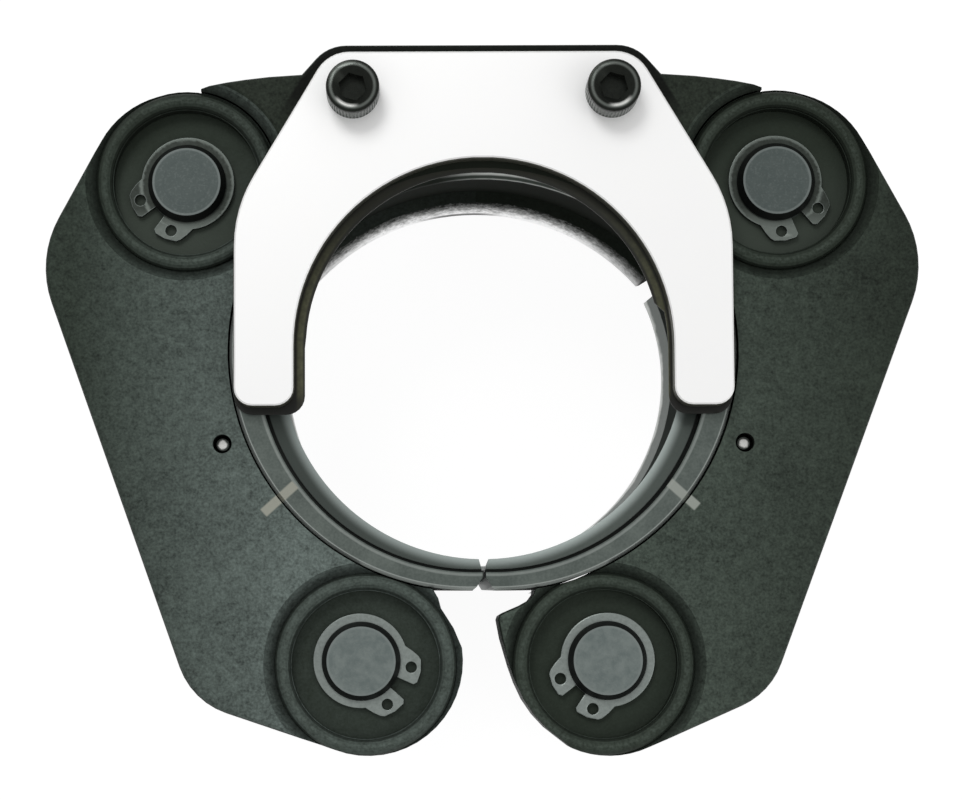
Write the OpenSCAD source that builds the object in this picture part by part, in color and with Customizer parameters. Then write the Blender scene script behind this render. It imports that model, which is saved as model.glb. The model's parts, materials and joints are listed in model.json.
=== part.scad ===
// Three-part press ring for pipe fittings: two hinged arms, each with a sliding
// press segment, on a middle link that carries the third segment and a front plate.
// The ring axis is Z, its rear face lies on Z = 0, and the front plate looks along +Z.

/* [Ring] */
// Thickness of the arms, rear face to front face
ring_t = 40; // [36:0.5:46]
// Radius of the sliding segments' outer face
seat_r = 38.4; // [37.8:0.1:38.8]
// Thickness of the sliding segments, from lip to outer face
segment_t = 6; // [5.4:0.1:6.6]
// Depth of the bead groove behind the lips
bead_depth = 2.8; // [2:0.1:3.2]
// Length of each lip's land along the ring axis
land_l = 6.7; // [4:0.1:9]
// Depth of each lip's edge below its face
lip_sink = 3.0; // [2.4:0.1:4]
// How far the lips widen from edge to groove
lip_taper = 1.0; // [0.4:0.1:1.4]

/* [Hinge and adapter pins] */
// Diameter of all four pins
pin_d = 12.6; // [10:0.1:13.4]
// Upper pins, distance outwards from the sliding segments' outer face
upper_reach = 9.25; // [9:0.05:10]
// Upper pins, height above the ring axis
upper_y = 28.5; // [27.8:0.1:30]
// Lower pins, distance from the middle plane
lower_x = 19.65; // [19:0.05:21]
// Lower pins, distance below the sliding segments' outer face
lower_drop = 10.25; // [10:0.05:12]
// Distance of the pin ends below the arm faces
pin_sink = 1.0; // [0.5:0.1:1.2]
// Radial width of the chamfer on the pin ends
pin_chamfer = 0.8; // [0.4:0.1:1]
// Length of the chamfer on the pin ends
pin_chamfer_l = 1.4; // [0.4:0.1:1.4]

/* [Arms] */
// Radius of the arm end around the upper pin
end_r = 14.9; // [14.2:0.1:15.4]
// Radius of the arm end around the lower pin
lug_r = 15; // [14.4:0.1:15.6]
// Elbow of the arm, distance outwards from the upper pin
elbow_reach = 24.1; // [20:0.1:28]
// Elbow of the arm, distance below the upper pin
elbow_drop = 12.5; // [9:0.1:16]
// Rounding of the elbow
elbow_r = 17; // [8:0.5:24]
// Heel of the arm, distance outwards from the lower pin
heel_reach = 26.3; // [23:0.1:30]
// Heel of the arm, distance below the lower pin
heel_drop = 5.75; // [4:0.05:8]
// Rounding of the heel
heel_r = 12; // [6:0.5:16]
// Width of the slots for the link's ears and the adapter claws
slot_w = 18; // [12:0.5:19]
// Radius of the slot around the upper pin
upper_slot_r = 17.8; // [17:0.1:19]
// Radius of the slot around the lower pin
lower_slot_r = 19; // [18:0.1:21]
// Radius of the recess around each pin
recess_r = 11.8; // [11.2:0.1:12]
// Depth of the recess around each pin
recess_depth = 4.0; // [3.7:0.1:5]
// Radius of the round bead around the recess
bead_r = 1.3; // [0.8:0.1:1.4]
// Rounding of the outline edges of arms and link
edge = 0.7; // [0.3:0.1:1]

/* [Sliding segments] */
// Sideways distance of the sliding face's centre from the middle plane
seat_x = 2.3; // [1.8:0.1:2.8]
// Height of the sliding face's centre above the ring axis
seat_y = 0.9; // [0.4:0.1:1.4]
// Direction of a sliding segment's upper end, seen from the ring axis
segment_top = 24.5; // [22:0.1:25]
// Gap between the two sliding segments at the bottom
bottom_gap = 0.56; // [0.4:0.02:1]
// Width of the ledge between the lip and the step
ledge_w = 2.2; // [1.8:0.1:2.4]
// Rise of the ledge from the lip to the step
ledge_rise = 0.5; // [0.2:0.05:1]
// Sideways shift of the step circle
step_x = 1.6; // [1:0.1:2]
// Width of the groove at the foot of the step
step_groove_w = 0.55; // [0.3:0.05:0.8]
// Depth of the groove at the foot of the step
step_groove_depth = 0.8; // [0.4:0.1:1.2]
// Thickness of the segment's tongue
tongue_t = 9.4; // [8:0.1:9.8]
// Height of the tongue above the sliding face
tongue_h = 6.8; // [6.2:0.1:7]
// Rounding at the segment's outer edges
segment_edge = 0.5; // [0.2:0.1:0.8]

/* [Guide pins] */
// Diameter of the guide pins
guide_d = 3; // [2.5:0.1:3]
// Distance of the guide pins from the sliding face
guide_h = 3.75; // [3.6:0.05:4]
// Direction of the guide pins, below the seat centre
guide_angle = 20.7; // [16:0.1:24]
// Depth of the guide pin ends below the arm faces
guide_sink = 1.8; // [0.5:0.1:3]
// Chamfer on the guide pin ends
guide_chamfer = 0.5; // [0.2:0.05:0.6]
// Play of the guide pin in the tongue's slot
guide_play = 0.15; // [0.1:0.05:0.3]

/* [Middle link] */
// Height of the link's face above the arms' faces
link_rise = 0.4; // [0.2:0.1:1]
// How much wider the link's press lip is than the segments' lips
link_lip_extra = 5.1; // [4:0.1:6]
// Height of the link's press lip above the ring axis
link_lip_top = 29.2; // [28.8:0.1:30]
// Direction of the link's lower ends, seen from the ring axis
link_end = 29.5; // [29:0.1:31]
// Height of the link's top above the plate's top edge
link_top_rise = 1.8; // [1:0.1:3]
// Half the width of the link's top, to its sloping sides
link_head_w = 24.8; // [24:0.1:26]
// Radius of the link's head corners
link_head_r = 6.5; // [2:0.1:8]
// Radius of the link's ears around the upper pins
ear_r = 14.6; // [12:0.1:14.8]

/* [Front plate] */
// Thickness of the front plate
plate_t = 3; // [2:0.1:4]
// Height of the plate's top edge above the ring axis
plate_top = 48.75; // [48:0.05:49.4]
// Half the width of the plate's top edge, to its sloping sides
plate_head_w = 24.7; // [24:0.1:26]
// Radius of the plate's head corners
plate_head_r = 6; // [2:0.1:8]
// Height of the plate's side corners above the ring axis
plate_bend_y = 23.4; // [20:0.1:26]
// Radius of the plate's side corners
plate_bend_r = 22; // [6:0.5:26]
// Depth of the legs' lower ends below the ring axis
plate_foot = 8.3; // [4:0.1:16]
// Half the width across the legs
plate_half_w = 39.8; // [39:0.1:40.6]
// How much smaller the plate's mouth is than the segments' lips
plate_overlap = 2.25; // [1.8:0.05:2.6]
// Height of the mouth arc's centre above the ring axis
plate_mouth_y = 1.3; // [0:0.1:2]
// Radius of the legs' lower corners
foot_r = 3; // [1:0.1:4]
// Rounding of the plate's edges
plate_edge = 0.35; // [0.1:0.05:0.6]

/* [Plate screws] */
// Screw size
screw_d = 5; // [4:0.5:5]
// Diameter of the screw heads
head_d = 8.5; // [7:0.1:9]
// Height of the screw heads
head_h = 5; // [4:0.1:5.5]
// Hexagon socket, across flats
socket_af = 4; // [3:0.1:4.4]
// Depth of the hexagon socket
socket_depth = 2.8; // [2:0.1:3.2]
// Diameter of the socket's conical mouth
socket_mouth_d = 5.4; // [5.2:0.1:6]
// Length of the screw shanks
screw_l = 16; // [10:0.5:20]
// Screws, distance from the middle plane
screw_x = 20.7; // [19:0.1:21.2]
// Screws, distance below the plate's top edge
screw_inset = 6.7; // [6:0.05:8]

/* [Circlips] */
// Thickness of the circlips
clip_t = 1; // [0.8:0.05:1.1]
// Depth of the circlip groove in the pins
clip_groove = 0.3; // [0.2:0.05:0.5]
// Greatest radial width of the circlip's ring
clip_w = 1.6; // [1.4:0.05:2]
// Least radial width of the circlip's ring, beside the lugs
clip_w_end = 1.35; // [1.1:0.05:1.4]
// Height of the circlip lugs above the ring's inner edge
clip_lug_h = 3.5; // [3.2:0.05:3.8]
// Diameter of the plier holes
plier_hole_d = 1.8; // [1.4:0.1:1.9]

/* [Clearances] */
// Gap between sliding segment and arm, along the arc
seat_gap = 0.2; // [0.1:0.05:0.3]
// Gap between sliding parts, across the ring
side_gap = 0.3; // [0.2:0.05:0.4]
// Gap between the link's ears and the slots, each side
ear_gap = 0.2; // [0.1:0.05:0.4]
// Gap between the arm ends and the link's shoulders
shoulder_gap = 0.25; // [0.2:0.05:0.6]
// Radial clearance of the pins in the arms
pin_fit = 0.02; // [0.01:0.01:0.05]
// Radial running clearance of the pins in the link's ears
hinge_fit = 0.05; // [0.03:0.01:0.1]
// Radial clearance of the screws in the plate
screw_gap = 0.25; // [0.1:0.05:0.4]
// Radial clearance of the screws in the link
thread_fit = 0.03; // [0.01:0.01:0.05]

/* [Hidden] */
$fn = 96;
over = 1;
mid_z = ring_t / 2;
face_z = ring_t + link_rise;
pin_r = pin_d / 2;
lip_r = seat_r - segment_t;
step_r = lip_r + ledge_w;
upper_x = seat_r + upper_reach;
lower_y = seat_r + lower_drop;
screw_y = plate_top - screw_inset;
link_top = plate_top + link_top_rise;
link_lip_r = lip_r + link_lip_extra;
plate_mouth_r = lip_r - plate_overlap;
upper = [upper_x, upper_y];
lower = [lower_x, -lower_y];
seat = [seat_x, seat_y];
arm_seat_r = seat_r + seat_gap;
channel_r = seat_r + tongue_h + 2 * seat_gap;
channel_w = tongue_t + 2 * side_gap;
ear_t = slot_w - 2 * ear_gap;
inner_end_r = end_r - 0.15;
shoulder_r = inner_end_r + shoulder_gap;
// On the front faces the bead round a lower pin sits a little off the pin
face_shift = [-0.7, -0.55];
guide_r = seat_r + guide_h;
guide_at = seat + guide_r * [cos(guide_angle), -sin(guide_angle)];
link_lip_y = link_lip_top - link_lip_r;
plate_z = face_z;
head_z = plate_z + plate_t;
clip_seat_gap = 0.05;
clip_r = pin_r - clip_groove + clip_seat_gap;
clip_z = ring_t - recess_depth + clip_seat_gap;
steel = [0.20, 0.22, 0.21];
segment_grey = [0.36, 0.38, 0.37];
bright = [0.93, 0.93, 0.92];
pin_grey = [0.43, 0.46, 0.46];
clip_grey = [0.50, 0.53, 0.52];
screw_black = [0.10, 0.10, 0.10];

// Points along an arc
function arc(c, r, a0, a1, n) =
    [for (i = [0:n]) c + r * [cos(a0 + (a1 - a0) * i / n), sin(a0 + (a1 - a0) * i / n)]];

function unit(v) = v / norm(v);
function cross2(a, b) = a[0] * b[1] - a[1] * b[0];

// The corner at b between a and c, rounded with radius r
function corner(a, b, c, r, n = 6) =
    let (
        u = unit(a - b),
        v = unit(c - b),
        half = acos(u * v) / 2,
        mid = b + unit(u + v) * r / sin(half),
        s = b + u * r / tan(half),
        t = b + v * r / tan(half),
        a0 = atan2(s[1] - mid[1], s[0] - mid[0]),
        turn = atan2(cross2(s - mid, t - mid), (s - mid) * (t - mid))
    )
    arc(mid, r, a0, a0 + turn, n);

// An anticlockwise outline moved inwards by d
function inset(p, d) =
    [for (i = [0:len(p) - 1])
        let (
            a = p[(i + len(p) - 1) % len(p)],
            b = p[i],
            c = p[(i + 1) % len(p)],
            n1 = unit([a[1] - b[1], b[0] - a[0]]),
            n2 = unit([b[1] - c[1], c[0] - b[0]]),
            m = unit(n1 + n2)
        )
        b + m * d / max(m * n1, 0.5)];

function in_triangle(p, a, b, c) =
    cross2(b - a, p - a) >= 0 && cross2(c - b, p - b) >= 0 && cross2(a - c, p - c) >= 0;

// Whether the k-th of the corners left can be cut off as a triangle
function is_ear(p, left, k) =
    let (
        n = len(left),
        ia = left[(k + n - 1) % n],
        ib = left[k],
        ic = left[(k + 1) % n],
        bulge = cross2(p[ib] - p[ia], p[ic] - p[ib])
    )
    bulge > 1e-6
        && len([for (q = left)
            if (q != ia && q != ib && q != ic && in_triangle(p[q], p[ia], p[ib], p[ic])) q]) == 0;

function find_ear(p, left, k = 0) =
    k >= len(left) - 1 || is_ear(p, left, k) ? k : find_ear(p, left, k + 1);

// Triangles that fill an anticlockwise outline
function filled(p, left) =
    len(left) == 3
        ? [left]
        : let (n = len(left), k = find_ear(p, left))
            concat(
                [[left[(k + n - 1) % n], left[k], left[(k + 1) % n]]],
                filled(p, [for (i = [0:n - 1]) if (i != k) left[i]])
            );

// A plate over an anticlockwise outline, its edges rounded in two steps
module rounded_plate(outline, z0, z1, r) {
    n = len(outline);
    levels = [[z0, r], [z0 + 0.3 * r, 0.3 * r], [z0 + r, 0], [z1 - r, 0], [z1 - 0.3 * r, 0.3 * r], [z1, r]];
    rings = len(levels);
    points = [for (l = levels) for (p = inset(outline, l[1])) [p[0], p[1], l[0]]];
    sides = [for (k = [0:rings - 2]) for (i = [0:n - 1]) for (h = [0, 1])
        let (j = (i + 1) % n)
        h == 0 ? [k * n + i, (k + 1) * n + j, k * n + j] : [k * n + i, (k + 1) * n + i, (k + 1) * n + j]];
    cap = filled(inset(outline, r), [for (i = [0:n - 1]) i]);
    top = [for (t = cap) [for (i = [2:-1:0]) (rings - 1) * n + t[i]]];
    polyhedron(points = points, faces = concat(sides, cap, top), convexity = 6);
}

module at(p, z = 0) {
    translate([p[0], p[1], z]) children();
}

module left_side() {
    mirror([1, 0, 0]) children();
}

// Profile of the valley outside the bead: radius and depth, down to the bead and up to the face
function valley_profile() =
    let (foot = recess_r + 0.1 + 2 * bead_r)
    [[foot + 0.4, -0.95 * bead_r], [foot + 1, -0.55 * bead_r], [foot + 1.7, 0]];

// Recess, bead and valley around a pin, cut into a face at height z
module pin_face(p, z, side) {
    crest = recess_r + 0.1 + bead_r;
    bead = arc([crest, -0.25 - bead_r], bead_r, 180, 0, 8);
    valley = valley_profile();
    profile = concat(
        [[0, over], [0, -recess_depth], [recess_r, -recess_depth], [recess_r, -0.25 - bead_r]],
        bead,
        valley,
        [[valley[2][0], over]]
    );
    at(p, z) mirror([0, 0, side > 0 ? 0 : 1]) rotate_extrude() polygon(profile);
}

// Inner side of the arm end around the lower pin, from the seat down; one arm has a pointed nose
function lug_side(nose) =
    nose
        ? [[-11.64, 11.2], [-11.7, 10.6], [-12.4, 9.64], [-13.73, 8.9], [-16.6, 7.66], [-17.3, 7.2],
            [-17.5, 6.6], [-16.94, 3.57], [-15.65, -0.92], [-14.7, -3.6], [-13.5, -6.2], [-11.8, -8.7],
            [-9.9, -10.75], [-7.8, -12.4]]
        : [[-11.6, 11.2], [-12.32, 9.94], [-12.75, 8.36], [-13.75, 6.8], [-14.75, 5.2], [-15.5, 3.4]];

// Outline of the right arm
function arm_outline(nose) =
    let (
        lug = lower + [nose ? 0.1 : -1.2, nose ? -0.1 : 0],
        tangent = nose ? 295 : 291,
        tip = lug + lug_r * [cos(tangent), sin(tangent)],
        heel = lower + [heel_reach + (nose ? -0.6 : 0.6), -heel_drop + (nose ? 0.55 : -0.55)],
        elbow = upper + [elbow_reach, -elbow_drop],
        outer_end = upper + [0.6, -0.35],
        shoulder = outer_end + end_r * [cos(28), sin(28)],
        inner = arc(seat, arm_seat_r - 2, 27, -78, 9),
        foot_y = seat[1] - arm_seat_r * 0.975
    )
    concat(
        inner,
        [[lower[0] - 11.5 * lug_r / 15, foot_y + 1]],
        [for (q = lug_side(nose)) lower + q * lug_r / 15],
        arc(lug, lug_r, nose ? 246 : 172, tangent, nose ? 8 : 16),
        corner(tip, heel, elbow, heel_r),
        corner(heel, elbow, shoulder, elbow_r, 8),
        arc(outer_end, end_r, 28, 74, 8),
        arc(upper, inner_end_r, 78, 216, 22)
    );

// Room beside the rear cheek on the inner side, where the nose stays in front
module cheek_relief() {
    reach = 1.3 * lug_r;
    at(lower, -over) linear_extrude(mid_z + over) difference() {
        translate([-reach, -reach]) square([reach, reach + 0.77 * lug_r]);
        translate([0.6, 0.3]) circle(r = 0.93 * lug_r);
        translate([-0.66 * lug_r, 0]) square(lug_r);
    }
}

module arm(nose) {
    difference() {
        rounded_plate(arm_outline(nose), 0, ring_t, edge);
        // Seat of the sliding segment and the channel of its tongue
        at(seat, -over) cylinder(r = arm_seat_r, h = ring_t + 2 * over);
        at(seat, mid_z - channel_w / 2) cylinder(r = channel_r, h = channel_w);
        // Slots for the link's ear and for the adapter's claw
        at(upper, mid_z - slot_w / 2) cylinder(r = upper_slot_r, h = slot_w);
        at(lower, mid_z - slot_w / 2) cylinder(r = lower_slot_r, h = slot_w);
        for (p = [upper, lower]) at(p, -over) cylinder(r = pin_r + pin_fit, h = ring_t + 2 * over);
        for (side = [1, -1]) {
            pin_face(upper, side > 0 ? ring_t : 0, side);
            pin_face(side > 0 ? lower + face_shift : lower, side > 0 ? ring_t : 0, side);
        }
        at(guide_at, -over) cylinder(d = guide_d + 2 * pin_fit, h = ring_t + 2 * over, $fn = 48);
        if (nose) cheek_relief();
    }
}

module left_arm() {
    color(steel) left_side() arm(false);
}

module right_arm() {
    color(steel) arm(true);
}

// Bore of a press segment: two flared lips with the bead groove between them
module press_bore(r, z0, z1, flare, sink) {
    side = [
        [r, z0 + sink],
        [r + lip_taper, z0 + sink + land_l],
        [r + bead_depth, z0 + sink + land_l + 1]
    ];
    other = [for (i = [2:-1:0]) [side[i][0], z0 + z1 - side[i][1]]];
    end0 = flare > 0 ? [[r + flare, z0 - 0.01], [r + flare, z0 - over]] : [[r, z0 - over]];
    end1 = flare > 0 ? [[r + flare, z1 + 0.01], [r + flare, z1 + over]] : [[r, z1 + over]];
    profile = concat([[0, z0 - over]], [end0[len(end0) - 1]], flare > 0 ? [end0[0]] : [],
        side, other, end1, [[0, z1 + over]]);
    rotate_extrude($fn = 144) polygon(profile);
}

// Ledge in front of the lip, bounded by the step circle, and the groove at the foot of the step
module stepped_mouth(z_face, side) {
    flare = 2 * ledge_w;
    rise = 2 * ledge_rise;
    wall = lip_sink - rise + over;
    groove_z = ledge_rise - step_groove_depth;
    translate([0, 0, z_face]) mirror([0, 0, side > 0 ? 0 : 1]) translate([0, 0, -lip_sink]) {
        intersection() {
            union() {
                cylinder(r1 = lip_r, r2 = lip_r + flare, h = rise, $fn = 144);
                translate([0, 0, rise]) cylinder(r = lip_r + flare, h = wall, $fn = 144);
            }
            at([step_x, 0], -over) cylinder(r = step_r, h = ring_t, $fn = 144);
        }
        at([step_x, 0], groove_z) difference() {
            cylinder(r = step_r, h = lip_sink, $fn = 144);
            translate([0, 0, -over]) cylinder(r = step_r - step_groove_w, h = lip_sink + 2 * over, $fn = 144);
        }
    }
}

// Tongue with the curved slot that the guide pin runs in
module segment_tongue() {
    reach = seat_r + tongue_h;
    slot_in = guide_r - guide_d / 2 - guide_play;
    slot_out = guide_r + guide_d / 2 + guide_play;
    slot_turn = 5.5;
    tongue_span = [for (a = [-50:12:10]) a];
    wedge = concat([[0, 0]], [for (a = tongue_span) 2 * reach * [cos(a), sin(a)]]);
    slot_wedge = [[0, 0], for (a = [-slot_turn, 0, slot_turn]) 2 * reach * [cos(a), sin(a)]];
    at(seat, mid_z - tongue_t / 2) difference() {
        intersection() {
            cylinder(r = reach, h = tongue_t);
            linear_extrude(tongue_t) polygon(wedge);
        }
        translate([0, 0, -over]) cylinder(r = seat_r - 1.5, h = tongue_t + 2 * over);
        rotate(-guide_angle) translate([0, 0, -over]) {
            intersection() {
                difference() {
                    cylinder(r = slot_out, h = tongue_t + 2 * over);
                    translate([0, 0, -over]) cylinder(r = slot_in, h = tongue_t + 4 * over);
                }
                linear_extrude(tongue_t + 2 * over) polygon(slot_wedge);
            }
            for (a = [-slot_turn, slot_turn]) {
                rotate(a) translate([guide_r, 0, 0])
                    cylinder(d = slot_out - slot_in, h = tongue_t + 2 * over, $fn = 48);
            }
        }
    }
}

module press_segment() {
    z0 = side_gap;
    z1 = ring_t - side_gap;
    e = segment_edge;
    top_ray = [cos(segment_top), sin(segment_top)];
    far = 80;
    half_gap = bottom_gap / 2;
    bottom_r = seat_r - seat_y;
    end_relief = 1.5;
    union() {
        difference() {
            at(seat, z0) union() {
                cylinder(r1 = seat_r - e, r2 = seat_r, h = e);
                translate([0, 0, e]) cylinder(r = seat_r, h = z1 - z0 - 2 * e);
                translate([0, 0, z1 - z0 - e]) cylinder(r1 = seat_r, r2 = seat_r - e, h = e);
            }
            press_bore(lip_r, z0, z1, 0, lip_sink);
            stepped_mouth(z1, 1);
            stepped_mouth(z0, -1);
            // Everything above the upper end
            translate([0, 0, -over]) linear_extrude(ring_t + 2 * over)
                polygon([[0, 0], far * top_ray, [far, far], [-far, far], [-far, 0]]);
            // Upper outer corner
            translate([0, 0, -over]) linear_extrude(ring_t + 2 * over)
                polygon([
                    (seat_r - 0.5) * top_ray,
                    (seat_r + 6) * top_ray,
                    (seat_r + 6) * top_ray + [2, -8],
                    (seat_r + 1.7) * top_ray + [1.1, -2.6]
                ]);
            // Pointed lower end
            translate([0, 0, -over]) linear_extrude(ring_t + 2 * over)
                polygon([
                    [-far, 1], [0.9, 1], [0.9, -lip_r + 0.5], [half_gap, -lip_r - 1.8],
                    [half_gap, -bottom_r + 2.1], [1.2, -bottom_r + 0.6], [2, -bottom_r - 0.1],
                    [2, -far], [-far, -far]
                ]);
            // Relief of the outer face at the lower end, deepest at the rear
            translate([-over, -bottom_r, z1 - over]) rotate([end_relief, 0, 0])
                translate([0, -3 * over, -ring_t]) cube([12 + over, 3 * over, ring_t + over]);
        }
        segment_tongue();
    }
}

module left_segment() {
    color(segment_grey) left_side() press_segment();
}

module right_segment() {
    color(segment_grey) press_segment();
}

// Right half of the link's outline, from the top down; its top slopes to the arm end
function link_half() =
    let (
        head = [link_head_w, link_top],
        neck = [link_head_w + 4.2, upper[1] + 1.16 * end_r],
        top_line = [[-13.25, 16.93], [-9.55, 16.5], [-6.45, 16.05], [-3.85, 15.53], [-2.35, 15.15]],
        ray = [cos(link_end), sin(link_end)]
    )
    concat(
        corner([0, link_top], head, neck, link_head_r),
        [neck],
        [for (q = top_line) upper + q * end_r / 14.9],
        [upper, 20 * ray]
    );

function link_outline() =
    let (half = link_half(), n = len(half))
    concat([for (i = [0:n - 1]) [-half[i][0], half[i][1]]], [for (i = [n - 1:-1:0]) half[i]]);

module link_ears() {
    root = -1.28 * end_r;
    translate([0, 0, mid_z - ear_t / 2]) linear_extrude(ear_t) {
        circle(r = ear_r);
        polygon([
            [0, 0], [0, ear_r], [-0.65 * end_r, 1.08 * end_r], [root, 1.12 * end_r],
            [root, -0.47 * end_r], shoulder_r * [cos(212.5), sin(212.5)]
        ]);
    }
}

// The arm's valley, running on over the link's shoulders
module shoulder_valley() {
    valley = valley_profile();
    rim = valley[2][0] + 2 * link_rise;
    rotate_extrude() polygon(concat([[0, over], [0, valley[0][1]]], valley, [[rim, link_rise], [rim, over]]));
}

module middle_link() {
    color(steel) difference() {
        union() {
            difference() {
                rounded_plate(link_outline(), 0, face_z, edge);
                for (s = [-1, 1]) translate([s * upper_x, upper_y, 0]) {
                    translate([0, 0, -over]) cylinder(r = shoulder_r, h = face_z + 2 * over);
                    translate([0, 0, ring_t]) shoulder_valley();
                    mirror([0, 0, 1]) shoulder_valley();
                }
            }
            at(upper) link_ears();
            left_side() at(upper) link_ears();
        }
        translate([0, link_lip_y, 0]) press_bore(link_lip_r, 0, face_z, 1.2, lip_sink);
        for (s = [-1, 1]) {
            translate([s * upper_x, upper_y, -over]) cylinder(r = pin_r + hinge_fit, h = face_z + 2 * over);
            translate([s * screw_x, screw_y, head_z - screw_l - 1.5])
                cylinder(d = screw_d + 2 * thread_fit, h = screw_l, $fn = 48);
        }
    }
}

// Outline of the front plate: two legs joined by a head over a round mouth
function plate_half() =
    let (
        head = [plate_head_w, plate_top],
        bend = [plate_half_w, plate_bend_y],
        foot = [plate_half_w, -plate_foot],
        toe = [plate_mouth_r, -plate_foot]
    )
    concat(
        corner([0, plate_top], head, bend, plate_head_r),
        corner(head, bend, foot, plate_bend_r),
        corner(bend, foot, toe, foot_r),
        corner(foot, toe, [plate_mouth_r, 0], foot_r),
        arc([0, plate_mouth_y], plate_mouth_r, 0, 87, 24)
    );

function plate_outline() =
    let (half = plate_half(), n = len(half))
    concat([for (i = [0:n - 1]) [-half[i][0], half[i][1]]], [for (i = [n - 1:-1:0]) half[i]]);

module front_plate() {
    color(bright) difference() {
        rounded_plate(plate_outline(), plate_z, plate_z + plate_t, plate_edge);
        for (s = [-1, 1]) {
            translate([s * screw_x, screw_y, plate_z - over])
                cylinder(d = screw_d + 2 * screw_gap, h = plate_t + 2 * over, $fn = 48);
        }
    }
}

module plate_screw(s) {
    c = 0.5;
    mouth = (socket_mouth_d - socket_af) / 2;
    color(screw_black) translate([s * screw_x, screw_y, head_z]) difference() {
        union() {
            cylinder(d = head_d, h = head_h - c, $fn = 72);
            translate([0, 0, head_h - c]) cylinder(d1 = head_d, d2 = head_d - 2 * c, h = c, $fn = 72);
            translate([0, 0, -screw_l]) cylinder(d = screw_d, h = screw_l, $fn = 48);
        }
        translate([0, 0, head_h - socket_depth]) rotate(15)
            cylinder(d = socket_af / cos(30), h = socket_depth + over, $fn = 6);
        translate([0, 0, head_h - mouth]) cylinder(d1 = socket_af, d2 = socket_mouth_d, h = mouth, $fn = 48);
        translate([0, 0, head_h]) cylinder(d = socket_mouth_d, h = over, $fn = 48);
    }
}

module plate_screw_left() {
    plate_screw(-1);
}

module plate_screw_right() {
    plate_screw(1);
}

// A pin along Z with a circlip groove near each end
module pin(p) {
    l = ring_t - 2 * pin_sink;
    groove_z = recess_depth - pin_sink - clip_t - 2 * clip_seat_gap;
    groove_w = clip_t + 2 * clip_seat_gap;
    r = pin_r;
    g = pin_r - clip_groove;
    half = [[0, 0], [r - pin_chamfer, 0], [r, pin_chamfer_l], [r, groove_z], [g, groove_z],
        [g, groove_z + groove_w], [r, groove_z + groove_w]];
    n = len(half);
    color(pin_grey) at(p, pin_sink) rotate_extrude()
        polygon(concat(half, [for (i = [n - 1:-1:0]) [half[i][0], l - half[i][1]]]));
}

module upper_pin_left() {
    left_side() pin(upper);
}

module upper_pin_right() {
    pin(upper);
}

module lower_pin_left() {
    left_side() pin(lower);
}

module lower_pin_right() {
    pin(lower);
}

module guide_pin() {
    l = ring_t - 2 * guide_sink;
    r = guide_d / 2;
    c = guide_chamfer;
    color(bright) at(guide_at, guide_sink) rotate_extrude($fn = 48)
        polygon([[0, 0], [r - c, 0], [r, c], [r, l - c], [r - c, l], [0, l]]);
}

module guide_pin_left() {
    left_side() guide_pin();
}

module guide_pin_right() {
    guide_pin();
}

// One lug of a circlip, above the gap that points along +X
module clip_lug() {
    inner = clip_r - 0.2;
    top = clip_r + clip_lug_h;
    hole_at = clip_r + 0.57 * clip_lug_h;
    outside = [[9, top - 0.45], [12, top], [23, top + 0.1], [34, top], [38, top - 0.35], [44, top - 1.15],
        [52, clip_r + clip_w_end + 0.05]];
    difference() {
        polygon(concat(
            [for (q = outside) q[1] * [cos(q[0]), sin(q[0])]],
            [for (t = [52, 38, 24, 9]) inner * [cos(t), sin(t)]]
        ));
        translate(hole_at * [cos(26), sin(26)]) circle(d = plier_hole_d, $fn = 36);
    }
}

// Outline of an external circlip whose gap points along +X
module clip_outline() {
    out_r = clip_r + (clip_w + clip_w_end) / 2;
    reach = 2 * out_r;
    difference() {
        union() {
            difference() {
                translate([(clip_w_end - clip_w) / 2, 0]) circle(r = out_r);
                polygon([[0, 0], reach * [cos(40), -sin(40)], reach * [cos(40), sin(40)]]);
            }
            clip_lug();
            mirror([0, 1]) clip_lug();
        }
        circle(r = clip_r);
    }
}

// A circlip on the pin at p, its gap turned to the given direction
module circlip(p, side, turn) {
    z = side > 0 ? clip_z : ring_t - clip_z - clip_t;
    color(clip_grey) at(p, z) rotate(turn) linear_extrude(clip_t) clip_outline();
}

module upper_circlip_left_front() {
    circlip([-upper_x, upper_y], 1, 225);
}

module upper_circlip_left_rear() {
    circlip([-upper_x, upper_y], -1, 225);
}

module upper_circlip_right_front() {
    circlip(upper, 1, -58);
}

module upper_circlip_right_rear() {
    circlip(upper, -1, -58);
}

module lower_circlip_left_front() {
    circlip([-lower_x, -lower_y], 1, -33);
}

module lower_circlip_left_rear() {
    circlip([-lower_x, -lower_y], -1, -33);
}

module lower_circlip_right_front() {
    circlip(lower, 1, 227);
}

module lower_circlip_right_rear() {
    circlip(lower, -1, 227);
}

middle_link();
front_plate();
plate_screw_left();
plate_screw_right();
left_arm();
right_arm();
upper_pin_left();
upper_pin_right();
lower_pin_left();
lower_pin_right();
left_segment();
right_segment();
guide_pin_left();
guide_pin_right();
upper_circlip_left_front();
upper_circlip_left_rear();
upper_circlip_right_front();
upper_circlip_right_rear();
lower_circlip_left_front();
lower_circlip_left_rear();
lower_circlip_right_front();
lower_circlip_right_rear();
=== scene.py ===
import bpy
import json
import math
from mathutils import Matrix, Vector


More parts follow.
